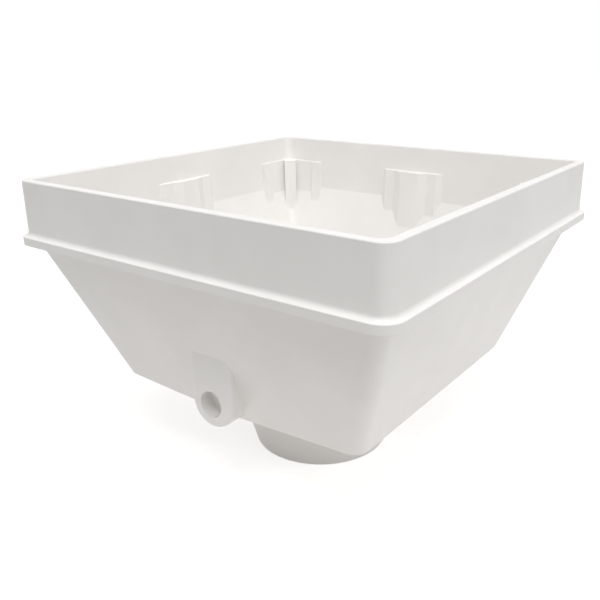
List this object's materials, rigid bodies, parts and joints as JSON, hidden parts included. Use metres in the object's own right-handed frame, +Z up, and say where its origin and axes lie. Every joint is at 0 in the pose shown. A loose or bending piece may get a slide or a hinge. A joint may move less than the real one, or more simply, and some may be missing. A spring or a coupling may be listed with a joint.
{
  "type": "floor sink body",
  "caption": "Square moulded floor sink body with an upright rim band, a thin flange, a tapered basin with grate posts, a round pipe outlet and a side boss.",
  "frame": {"origin": "middle of the outlet's lower end, at the bottom of the part", "axes": "+Z up out of the open basin, -Y out of the trap supply boss, +X to the right when the boss is in front"},
  "size_m": [0.3128, 0.3128, 0.2193],
  "materials": {
    "sink_body": "satin white moulded PVC"
  },
  "bodies": {
    "root": {"sink_body": "sink_body"}
  },
  "joints": []
}
